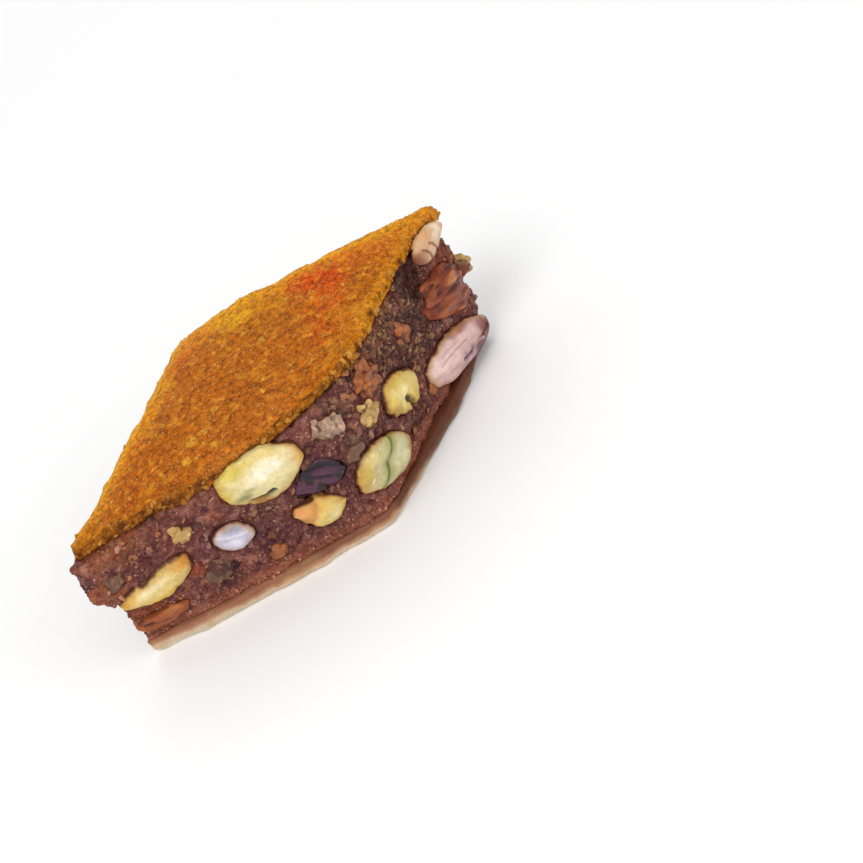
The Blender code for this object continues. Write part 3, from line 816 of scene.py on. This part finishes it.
KERNEL_DEPTH = np.array([0.92, 0.88, 0.76])
CREAM_NUTS = {
    "pistachio_large": (
        ("front_left", 34.7, 24.0, 15.8, 11.0, 5),
        (238, 226, 180),
        (
            (-0.5, 0.9, 0.8, 0.5, (222, 200, 92), 0.9),
            (-1.0, 0.3, 0.45, 0.9, (216, 190, 86), 0.9),
            (0.5, 0.8, 0.5, 0.35, (236, 208, 124), 0.6),
            (1.05, 0.1, 0.3, 0.9, (218, 166, 84), 0.8),
            (1.15, 0.2, 0.15, 0.7, (200, 124, 44), 0.9),
            # Pale grey-green on the lower side (this patch and the one at 0.49, -0.6): painted shade; the two
            # small darker patches are scratches.
            (-0.6, -0.35, 0.5, 0.5, (204, 200, 146), 0.8),
            (-0.66, -0.2, 0.34, 0.2, (150, 148, 104), 0.9),
            (-0.36, -0.02, 0.3, 0.16, (170, 166, 118), 0.85),
            (0.49, -0.6, 0.5, 0.35, (200, 192, 132), 0.7),
            (-0.25, -0.85, 0.5, 0.3, (132, 104, 70), 0.8),
            # Painted highlight on the middle.
            (0.2, 0.3, 0.55, 0.4, (255, 252, 240), 1.0),
        ),
        # Painted shade: the crevice at the lower edge, carved in and painted near black.
        ((((-0.46, -0.5), (0.06, -0.58)), -0.4, 0.95, 0.8, (40, 16, 20)),),
    ),
    "nut_orange_skin": (
        ("front_left", 40.6, 11.2, 9.4, 7.4, -32),
        (230, 206, 132),
        (
            (-0.95, 0.19, 0.6, 1.0, (238, 158, 120), 0.95),
            (-0.55, -0.2, 0.3, 0.6, (206, 132, 84), 0.7),
            (-0.18, 0.4, 0.4, 0.5, (226, 180, 92), 0.7),
            (0.0, 1.0, 0.5, 0.3, (202, 142, 66), 0.7),
            (0.61, 0.02, 0.4, 0.7, (228, 216, 172), 0.8),
            (0.9, -0.3, 0.3, 0.5, (192, 172, 120), 0.7),
        ),
        ((((-0.5, 0.9), (-0.35, -0.8)), 0.5, 1.1, 0.3, (214, 150, 92)),),
    ),
    "pistachio_long": (
        ("front_left", 9.5, 14.8, 16.4, 7.0, 7),
        (230, 206, 142),
        (
            (-0.24, 0.1, 0.6, 0.35, (252, 240, 198), 0.95),
            (0.3, 0.5, 0.4, 0.3, (240, 220, 160), 0.6),
            (0.75, 0.5, 0.45, 0.7, (214, 150, 54), 0.95),
            (0.95, 0.0, 0.3, 1.1, (186, 100, 34), 0.95),
            (-0.95, 0.4, 0.4, 1.0, (220, 168, 56), 0.9),
            (-0.12, -0.8, 1.0, 0.35, (222, 190, 74), 0.85),
            (0.3, 1.0, 0.8, 0.25, (206, 164, 84), 0.7),
            (0.45, -0.2, 0.3, 0.3, (206, 176, 104), 0.5),
        ),
        (),
    ),
    "pistachio_square": (
        ("front_right", 19.1, 15.0, 12.8, 8.8, -29),
        (228, 202, 116),
        (
            (-0.61, 0.8, 0.6, 0.5, (204, 172, 66), 0.8),
            (0.5, 0.55, 0.4, 0.4, (222, 204, 136), 0.7),
            (-0.2, 0.1, 0.45, 0.45, (250, 238, 184), 0.9),
            (0.7, -0.5, 0.4, 0.5, (196, 164, 88), 0.8),
            (-0.6, -0.7, 0.5, 0.4, (182, 140, 74), 0.7),
        ),
        (
            # Painted shade: the crack, carved in and painted near black.
            (((0.0, -0.3), (0.45, -0.85)), 0.2, 1.1, 0.9, (46, 22, 20)),
            (((-0.7, 0.3), (-0.2, -0.6)), 0.3, 0.5, 0.0, (238, 222, 160)),
        ),
    ),
    "pistachio_back": (
        ("back_right", 30.0, 19.0, 15.8, 8.8, 24),
        (232, 214, 156),
        ((0.8, 0.0, 0.4, 0.9, (208, 150, 70), 0.8), (-0.4, 0.5, 0.5, 0.4, (206, 196, 126), 0.7)),
        (),
    ),
    "pistachio_piece_back": (
        ("back_right", 42.0, 10.6, 9.6, 7.4, 40),
        (226, 204, 138),
        ((-0.7, 0.2, 0.5, 0.9, (206, 150, 84), 0.7), (0.5, -0.3, 0.4, 0.4, (238, 224, 176), 0.7)),
        (),
    ),
    "pistachio_left": (
        ("back_left", 37.0, 20.0, 14.0, 8.2, 30),
        (230, 210, 148),
        ((0.8, 0.1, 0.4, 0.9, (204, 148, 66), 0.8), (-0.3, -0.5, 0.5, 0.4, (196, 190, 124), 0.7)),
        (),
    ),
    "nut_piece_left": (
        ("back_left", 16.0, 8.0, 8.8, 5.6, -20),
        (224, 198, 140),
        ((0.6, 0.0, 0.5, 0.9, (196, 136, 78), 0.7),),
        (),
    ),
}
cream_kernel = kernel_surface("cream_kernel", 0.42, 0.2, 0.25, 0.12)
for node, (place_values, ground, patches, lines) in CREAM_NUTS.items():
    kernel, place, points = nut_piece(node, place_values, 0.2)
    colours = nut_colours(points, place, ground, patches)
    colours, depths = draw_lines(points, place, colours, lines, 0.95)
    finish_nut(node, kernel, smear(points, colours) * KERNEL_DEPTH, -depths, cream_kernel, "kernel_cream")


# Pistachios split in halves
# Fresh kernels whose two halves part along a green seam, whitish green inside, with a green edge and a
# brown remnant of skin on the rim.
GREEN_NUTS = {
    "pistachio_split": (
        ("front_right", 6.9, 10.2, 17.2, 10.0, -23),
        (206, 198, 156),
        (
            (-0.73, 0.52, 0.4, 0.5, (240, 224, 156), 0.85),
            (-0.95, 0.0, 0.35, 0.8, (206, 174, 80), 0.8),
            (0.36, 0.0, 0.45, 0.5, (222, 222, 186), 0.85),
            (0.4, -0.7, 0.5, 0.35, (176, 172, 128), 0.8),
            (0.35, 0.9, 0.4, 0.3, (148, 154, 84), 0.85),
            (0.85, 0.12, 0.22, 0.8, (176, 122, 66), 0.9),
            (-1.0, -0.6, 0.4, 0.4, (188, 150, 96), 0.7),
        ),
        ((0.19, 0.98), (-0.52, -0.95)),
    ),
    "pistachio_split_left": (
        ("back_left", 28.6, 10.2, 14.6, 9.4, -14),
        (206, 198, 146),
        (
            (-0.5, 0.3, 0.5, 0.6, (224, 210, 142), 0.8),
            (0.4, 0.0, 0.45, 0.5, (214, 212, 180), 0.8),
            (0.9, 0.0, 0.25, 0.8, (168, 118, 66), 0.85),
        ),
        ((0.1, 0.95), (-0.2, -0.95)),
    ),
}
green_kernel = kernel_surface("green_kernel", 0.38, 0.2, 0.25, 0.16)
for node, (place_values, ground, patches, seam_ends) in GREEN_NUTS.items():
    kernel, place, points = nut_piece(node, place_values, 0.1, 8)
    seam = line_share(points, place, seam_ends, 0.25, 0.55)
    white_dots = step(0.3, 0.55, waves(points, 0.9, 24)) * step(-0.2, -0.5, place.local(points)[0])
    colours = coat(
        nut_colours(points, place, ground, patches),
        ((156, 164, 92), 0.7 * line_share(points, place, seam_ends, 0.25, 2.1)),
        ((96, 112, 48), 0.85 * seam),
        ((246, 240, 220), 0.7 * white_dots),
    )
    colours = smear(points, colours) * KERNEL_DEPTH
    finish_nut(node, kernel, colours, -0.28 * seam, green_kernel, "kernel_green")


# Blanched almonds
# Cut and broken almonds without their skins, white with a pink cast from the syrup. They are glossy where
# the syrup lies on them, and some keep a torn strip of red-brown skin. The pale piece has a painted
# highlight across its middle.
WHITE_DEPTH = np.array([0.92, 0.88, 0.92])
WHITE_NUTS = {
    "almond_piece_pale": (
        ("front_left", 24.9, 15.8, 7.8, 6.3, -17),
        (202, 200, 214),
        (
            (0.16, 0.8, 0.9, 0.45, (156, 158, 172), 0.85),
            (-0.78, 0.42, 0.35, 0.5, (220, 216, 226), 0.8),
            # Painted highlight.
            (0.05, -0.22, 0.6, 0.35, (232, 232, 238), 0.9),
            (0.8, 0.31, 0.3, 0.5, (206, 200, 208), 0.7),
            (0.2, -0.95, 0.8, 0.3, (190, 150, 156), 0.8),
        ),
        ((((-0.75, 0.35), (0.7, 0.3)), -0.2, 0.45, -0.3, (232, 228, 238)),),
        0.0,
    ),
    "almond_halved": (
        ("front_right", 38.1, 7.0, 25.0, 8.8, -18),
        (216, 180, 170),
        (
            (-0.6, 0.3, 0.6, 0.7, (244, 218, 206), 0.9),
            (0.1, 0.4, 0.6, 0.4, (232, 200, 190), 0.8),
            (0.2, 0.9, 0.7, 0.25, (160, 96, 74), 0.85),
            (0.5, -0.7, 0.8, 0.75, (96, 40, 40), 1.0),
            (0.1, -0.55, 0.25, 0.2, (206, 172, 184), 0.8),
            (0.72, 0.3, 0.4, 0.9, (156, 88, 64), 1.0),
            (0.86, 0.0, 0.42, 1.4, (106, 42, 34), 1.0),
            (-0.9, -0.8, 0.35, 0.3, (170, 118, 104), 0.8),
        ),
        (
            (((-0.1, -0.4), (0.75, 0.05)), -0.5, 0.6, 0.5, (74, 32, 34)),
            (((0.15, -0.5), (0.55, -0.25)), 0.5, 0.4, -0.3, (206, 176, 190)),
            (((-0.7, 0.1), (0.1, 0.3)), 0.4, 0.25, 0.12, (198, 142, 132)),
        ),
        0.3,
    ),
    "almond_blanched_tip": (
        ("front_right", 44.8, 28.0, 10.2, 4.8, 5),
        (222, 188, 142),
        (
            (0.4, 0.3, 0.7, 0.6, (242, 224, 190), 0.95),
            (0.2, 1.0, 0.9, 0.4, (218, 166, 96), 0.8),
            (-0.56, 0.5, 0.5, 0.5, (218, 172, 134), 0.7),
            (-1.0, 0.0, 0.45, 1.0, (150, 84, 58), 0.9),
            (0.9, 0.2, 0.3, 0.8, (214, 170, 112), 0.7),
            (-0.1, -0.9, 1.0, 0.45, (132, 72, 52), 0.9),
        ),
        (
            (((-0.3, 0.5), (-0.1, -0.8)), 0.4, 0.45, 0.25, (144, 86, 60)),
            (((-0.7, 0.6), (-0.5, -0.6)), 0.2, 0.4, 0.25, (120, 62, 46)),
        ),
        0.3,
    ),
    "almond_back": (
        ("back_right", 16.6, 10.8, 19.0, 9.2, -12),
        (214, 182, 164),
        (
            (0.8, 0.0, 0.3, 0.9, (168, 104, 76), 0.85),
            (-0.2, 0.2, 0.6, 0.4, (226, 202, 186), 0.7),
            (0.1, -0.7, 0.6, 0.3, (128, 74, 66), 0.8),
        ),
        (),
        0.6,
    ),
    "almond_halved_left": (
        ("back_left", 12.8, 17.4, 20.0, 9.6, 18),
        (214, 184, 164),
        (
            (-0.85, 0.0, 0.3, 0.9, (162, 100, 72), 0.85),
            (0.2, -0.1, 0.6, 0.4, (226, 204, 186), 0.7),
            (0.0, 0.75, 0.7, 0.25, (132, 78, 66), 0.8),
        ),
        (),
        0.6,
    ),
}
white_kernel = kernel_surface("white_kernel", 0.34, 0.16, 0.2, 0.15)
for node, (place_values, ground, patches, lines, fibre_share) in WHITE_NUTS.items():
    kernel, place, points = nut_piece(node, place_values, 0.1)
    fibres = waves(place.drawn_out(points, 0.18, 1.6), 1.0, 52)
    colours = nut_colours(points, place, ground, patches)
    colours = coat(colours, ((168, 112, 96), fibre_share * step(0.1, 0.55, fibres)))
    colours, depths = draw_lines(points, place, colours, lines, 0.85)
    heights = 0.12 * fibre_share * fibres - depths
    finish_nut(node, kernel, smear(points, colours) * WHITE_DEPTH, heights, white_kernel, "kernel_white")


# Almonds in their brown skins
# Whole and broken almonds that kept their thin leathery skins, red-brown and ridged lengthwise, with
# a painted gold highlight on the tops of the ridges and painted shade, nearly black, between them.
SKIN_DEPTH = np.array([0.9, 0.75, 0.68])
SKIN_NUTS = {
    "almond_skin_low": (
        ("front_left", 6.2, 7.4, 10.6, 4.0, -3),
        (156, 92, 54),
        ((0.5, 0.5, 0.6, 0.5, (196, 134, 78), 0.7), (-0.5, -0.5, 0.6, 0.5, (112, 58, 34), 0.7)),
    ),
    "almond_skin_side": (
        ("front_right", 42.8, 17.2, 14.2, 11.2, -10),
        (122, 60, 40),
        (
            (-0.3, -0.3, 0.7, 0.6, (152, 84, 44), 0.8),
            (0.5, 0.3, 0.5, 0.5, (108, 50, 36), 0.7),
            (-0.7, 0.7, 0.5, 0.4, (176, 106, 56), 0.7),
        ),
    ),
}
brown_skin = kernel_surface("brown_skin", 0.4, 0.3, 0.04, 0.12)
for node, (place_values, ground, patches) in SKIN_NUTS.items():
    kernel, place, points = nut_piece(node, place_values, 0.06, 10)
    ridge_places = place.drawn_out(points, 0.22, 1.25, 0.9)
    ridge_places[:, 1] += 0.5 * place.local(points)[0]
    ridges = waves(ridge_places, 1.3, 51) + 0.5 * waves(ridge_places, 0.6, 53)
    raise_surface(kernel, 0.5 * ridges + 0.6 * waves(points, 3.0, 54))
    colours = coat(
        nut_colours(points, place, ground, patches),
        ((168, 94, 52), 0.8 * step(0.05, 0.5, ridges)),
        # Painted highlight on the ridge tops.
        ((222, 166, 110), 0.6 * step(0.5, 0.85, ridges)),
        # Painted shade between the ridges.
        ((58, 22, 20), 0.8 * step(-0.15, -0.6, ridges)),
    )
    paint(kernel, colours * SKIN_DEPTH)
    dress(kernel, brown_skin, "nut_skin", node)


# Raisins
# Dark raisins, black purple and wrinkled lengthwise, glossy with syrup. The tops of their folds are
# painted a paler purple as painted highlight, and the valleys near black as painted shade.
RAISINS = {
    "raisin_dark": ("front_left", 43.2, 17.3, 9.2, 7.7, -21),
    "raisin_back": ("back_right", 31.0, 9.0, 9.0, 6.0, 10),
}
raisin_skin = kernel_surface("raisin_skin", 0.22, 0.35, 0.03, 0.5)
for node, place_values in RAISINS.items():
    raisin, place, points = nut_piece(node, place_values, 0.05, 6)
    folds = np.abs(waves(place.drawn_out(points, 0.35, 1.0), 1.5, 61))
    colours = coat(
        plain(points, (34, 14, 34)),
        # Painted highlight on the fold tops.
        ((92, 46, 84), 0.8 * step(0.2, 0.55, folds)),
        # Painted shade in the fold valleys.
        ((22, 8, 14), step(0.14, 0.02, folds)),
        ((110, 62, 60), 0.6 * step(0.25, 0.55, waves(points, 1.3, 62))),
    )
    finish_nut(node, raisin, colours * SKIN_DEPTH, 0.6 * folds - 0.1, raisin_skin, "raisin")


# Chips pressed into the filling
# Splinters and small lumps of nut, 3 to 7 mm long, stuck to the cut walls and grouped by colour.
CHIP_WAVE = 1.6
CHIP_UNEVEN = 0.5
CHIP_FLATNESS = 0.62
CHIP_COVER = 0.1
CHIP_LIFT = 0.3
for group_name, (ground, chips) in CHIP_GROUPS.items():
    lumps = bmesh.new()
    rises = []
    for seed, face, run, height, size, behind in chips:
        place = FacePlace(face, run, height, size, size, 37 * seed)
        chip = bmesh.ops.create_icosphere(lumps, subdivisions=5, radius=size / 2)
        for vertex in chip["verts"]:
            at = vertex.co.copy()
            at *= 1 + CHIP_UNEVEN * noise.noise(at / CHIP_WAVE + Vector((seed, 7, 0)))
            crumbly = noise.noise(vertex.co / 1.6 + Vector((seed, 0, 3))) + 0.6 * noise.noise(vertex.co / 0.6)
            at += vertex.co.normalized() * (CHIP_COVER + 0.2 * crumbly)
            rises.append(at.z * CHIP_FLATNESS)
            here = place.middle + place.along * at.x + place.across * at.y
            vertex.co = Vector(here + place.out * (at.z * CHIP_FLATNESS + CHIP_LIFT - behind)) * MM
    chip_mesh = bpy.data.meshes.new(group_name)
    lumps.to_mesh(chip_mesh)
    lumps.free()
    for face_data in chip_mesh.polygons:
        face_data.use_smooth = True
    group = place_object(group_name, chip_mesh)
    points = points_of(group)
    lumpy = grains(points, 2.3, 75)
    raise_surface(group, 0.6 * (lumpy - 0.75))
    paler = tuple(min(255, 1.2 * c) for c in ground)
    darker = tuple(0.75 * c for c in ground)
    rise = np.array(rises) + 0.4 * waves(points, 0.8, 73)
    colours = coat(
        plain(points, ground),
        (darker, 0.7 * step(0.0, 0.5, waves(points, 1.3, 71))),
        (paler, step(0.05, 0.5, waves(points, 0.9, 72))),
        ((72, 40, 36), 0.85 * step(0.55, 0.15, lumpy)),
        ((96, 54, 44), 0.8 * step(-0.3, -0.9, rise)),
    )
    paint(group, colours)
    chip_look = kernel_surface(group_name + "_look", 0.45, 0.25, 0.1, 0.2)
    dress(group, chip_look, "filling")


# Crumbs of the filling
# Ground nuts, dough dust and sugar that the knife dragged over the cut walls. They lie at random where
# the paste is open, sunk by a third into it, in three sizes.


def grain_surface(name, roughness, shine, own_share, tones):
    """The look of strewn grains: each picks a tone, mixed with the colour of the ground below it."""
    material, tree, shader = new_surface(name, roughness, Specular_IOR_Level=shine)
    tone = put(tree, "ShaderNodeAttribute", attribute_name="tone").outputs["Fac"]
    ground = put(tree, "ShaderNodeAttribute", attribute_name="colour").outputs["Color"]
    both = {0: own_share, 6: ground, 7: colour_ramp(tree, tone, tones)}
    mixed = put(tree, "ShaderNodeMix", both, data_type="RGBA").outputs[2]
    rough = grit(tree, put(tree, "ShaderNodeTexCoord").outputs["Object"], 3200.0, 3.0)
    light = put(tree, "ShaderNodeMapRange", {"Value": rough, "To Min": 0.55, "To Max": 1.45})
    gritty = vectors(tree, "MULTIPLY", mixed, light.outputs["Result"])
    tree.links.new(gritty, shader.inputs["Base Color"])
    add_bump(tree, shader, rough, 0.5, 0.2)
    return material


def random_value(tree, lowest, highest, seed):
    """A random number for each grain, or three of them where the limits are triples."""
    if isinstance(lowest, tuple):
        limits, settings, result = {0: lowest, 1: highest}, {"data_type": "FLOAT_VECTOR"}, 0
    else:
        limits, settings, result = {2: lowest, 3: highest}, {}, 1
    return put(tree, "FunctionNodeRandomValue", {**limits, "Seed": seed}, **settings).outputs[result]


def grain_tree(name, values, share, rounds, lies_flat):
    """The node tree that strews grains where the share allows, and the keys of its named inputs."""
    tree = bpy.data.node_groups.new(name, "GeometryNodeTree")
    tree.is_modifier = True
    for way in ("INPUT", "OUTPUT"):
        tree.interface.new_socket("Geometry", in_out=way, socket_type="NodeSocketGeometry")
    keys = {
        label: tree.interface.new_socket(label, in_out="INPUT", socket_type=kind).identifier
        for label, (kind, _) in values.items()
    }
    entry = put(tree, "NodeGroupInput").outputs
    allowed = put(tree, "GeometryNodeInputNamedAttribute", {"Name": share}, data_type="FLOAT")
    both = {0: allowed.outputs["Attribute"], 1: entry["Grains per square metre"]}
    density = put(tree, "ShaderNodeMath", both, operation="MULTIPLY").outputs[0]
    ground = {"Mesh": entry["Geometry"], "Density": density, "Seed": entry["Seed"]}
    spots = put(tree, "GeometryNodeDistributePointsOnFaces", ground).outputs
    sinking = vectors(tree, "SCALE", spots["Normal"], entry["Sink"])
    sunk = put(tree, "GeometryNodeSetPosition", {"Geometry": spots["Points"], "Offset": sinking})
    grain = put(tree, "GeometryNodeMeshIcoSphere", {"Radius": 0.5, "Subdivisions": rounds})
    spin = random_value(tree, (0.0, 0.0, 0.0), (math.tau, math.tau, math.tau), entry["Seed"])
    size = random_value(tree, entry["Smallest"], entry["Largest"], 5)
    shape = vectors(tree, "SCALE", random_value(tree, (0.65, 0.65, 0.65), (1.25, 1.25, 1.25), 9), size)
    squash = put(tree, "ShaderNodeCombineXYZ", {"X": 1.0, "Y": 1.0, "Z": entry["Flatness"]}).outputs[0]
    laying = {
        "Points": sunk.outputs[0],
        "Instance": grain.outputs["Mesh"],
        "Rotation": spots["Rotation"] if lies_flat else spin,
        "Scale": vectors(tree, "MULTIPLY", shape, squash),
    }
    laid = put(tree, "GeometryNodeInstanceOnPoints", laying).outputs[0]
    toning = {"Geometry": laid, "Name": "tone", "Value": random_value(tree, 0.0, 1.0, 17)}
    toned = put(tree, "GeometryNodeStoreNamedAttribute", toning, domain="INSTANCE").outputs[0]
    real = put(tree, "GeometryNodeRealizeInstances", {"Geometry": toned}).outputs[0]
    crag = put(tree, "ShaderNodeTexNoise", {"Scale": entry["Crags"], "Detail": 1.0})
    centred = vectors(tree, "SUBTRACT", crag.outputs["Color"], (0.5, 0.5, 0.5))
    push = vectors(tree, "SCALE", centred, entry["Largest"])
    cragged = put(tree, "GeometryNodeSetPosition", {"Geometry": real, "Offset": push}).outputs[0]
    finishing = {"Geometry": cragged, "Material": entry["Finish"]}
    coated = put(tree, "GeometryNodeSetMaterial", finishing).outputs[0]
    put(tree, "NodeGroupOutput", {"Geometry": coated})
    return tree, keys


def strew(name, ground, share, spacing, sizes, rounds, seed, sink, flatness, look, slot_name):
    """Grains strewn over a surface where its share allows, as one plain mesh. Sizes in millimetres."""
    finish = grain_surface(name + "_look", *look)
    smallest, largest = sizes
    values = {
        "Grains per square metre": ("NodeSocketFloat", 1e6 / spacing**2),
        "Smallest": ("NodeSocketFloat", smallest * MM),
        "Largest": ("NodeSocketFloat", largest * MM),
        "Sink": ("NodeSocketFloat", -sink * MM),
        "Flatness": ("NodeSocketFloat", flatness),
        "Crags": ("NodeSocketFloat", 1600.0 / (smallest + largest)),
        "Seed": ("NodeSocketInt", seed),
        "Finish": ("NodeSocketMaterial", finish),
    }
    piece = place_object(name, ground.data)
    strewing = piece.modifiers.new("strewing", "NODES")
    strewing.node_group, keys = grain_tree(name + "_strewing", values, share, rounds, flatness < 0.4)
    for label, (_, value) in values.items():
        strewing[keys[label]] = value
    bpy.context.view_layer.update()
    shown = piece.evaluated_get(bpy.context.evaluated_depsgraph_get())
    strewn = bpy.data.meshes.new_from_object(shown)
    piece.modifiers.clear()
    piece.data = strewn
    dress(piece, finish, slot_name)


DARK_TONES = (
    (0.02, (44, 20, 32)),
    (0.3, (78, 40, 42)),
    (0.55, (118, 68, 54)),
    (0.8, (164, 114, 88)),
    (0.98, (214, 174, 142)),
)
SUGAR_TONES = ((0.02, (160, 112, 88)), (0.5, (194, 152, 124)), (0.98, (232, 208, 186)))
for name, share, spacing, sizes, rounds, seed, sink, flatness, look in (
    ("paste_crumbs", "coarse", 1.5, (0.6, 1.6), 2, 3, 0.2, 0.75, (0.35, 0.18, 0.35, DARK_TONES)),
    ("paste_dust", "open", 0.8, (0.28, 0.75), 1, 4, 0.08, 0.8, (0.3, 0.25, 0.5, DARK_TONES)),
    ("sugar_grains", "open", 1.6, (0.14, 0.3), 1, 6, 0.0, 0.8, (0.18, 0.5, 0.85, SUGAR_TONES)),
):
    strew(name, filling, share, spacing, sizes, rounds, seed, sink, flatness, look, "filling")


# Golden crumbs under the broken crust
# Dough and nut crumbs, golden brown, that fell from the broken rim and stuck to the upper part of the
# right wall, and fine ones along the rim itself.
golden_open = np.zeros(len(paste_points))
for face, run, height, reach, stretch, share in (
    ("front_right", 25.0, 25.0, 6.0, 2.2, 1.0),
    ("front_right", 27.0, 19.5, 8.0, 1.4, 0.6),
    ("front_right", 8.0, 25.0, 4.0, 2.0, 0.6),
    ("front_left", 14.0, 26.0, 3.0, 4.0, 0.3),
):
    golden_open = np.maximum(golden_open, share * face_patch(paste_points, face, run, height, reach, stretch))
keep_share(filling, "golden", golden_open * nut_free * (1 - hollow))
golden_tones = ((0.02, (44, 24, 24)), (0.35, (76, 46, 34)), (0.7, (112, 78, 48)), (0.98, (168, 128, 80)))
golden_look = (0.45, 0.3, 0.8, golden_tones)
strew("golden_crumbs", filling, "golden", 0.68, (0.3, 1.25), 2, 8, 0.08, 0.9, golden_look, "filling")
crust_right = facing_of(crust) @ face_ways("front_right")[2] > 0.3
keep_share(crust, "rim", crust_side * np.where(crust_right, 1.0, 0.12))
rim_tones = ((0.02, (150, 88, 30)), (0.4, (190, 124, 38)), (0.98, (222, 170, 80)))
rim_look = (0.5, 0.15, 0.45, rim_tones)
strew("rim_crumbs", crust, "rim", 0.95, (0.4, 1.3), 2, 9, 0.22, 0.75, rim_look, "glazed_crust")


# Grains in the glaze
# Fine semolina and sugar that stuck to the wet glaze, each about 0.2 mm. Their pale gold tones are partly
# the grains' own colour and partly painted glints.
keep_share(crust, "glazed", step(0.6, 0.9, facing_of(crust)[:, 2]))
# Pale gold tones, partly painted glints.
glint_tones = ((0.02, (200, 120, 30)), (0.5, (222, 158, 60)), (0.98, (246, 214, 140)))
glint_look = (0.22, 0.4, 0.5, glint_tones)
strew("glaze_grains", crust, "glazed", 0.62, (0.14, 0.34), 1, 12, 0.03, 0.7, glint_look, "glazed_crust")


# Flakes of nut skin
# Thin red-brown shreds of almond and walnut skin lying flat on the cut walls.
flake_tones = ((0.02, (84, 36, 28)), (0.5, (130, 66, 42)), (0.98, (182, 112, 66)))
flake_look = (0.35, 0.4, 0.9, flake_tones)
strew("skin_flakes", filling, "open", 3.2, (0.9, 2.0), 2, 15, -0.05, 0.14, flake_look, "filling")
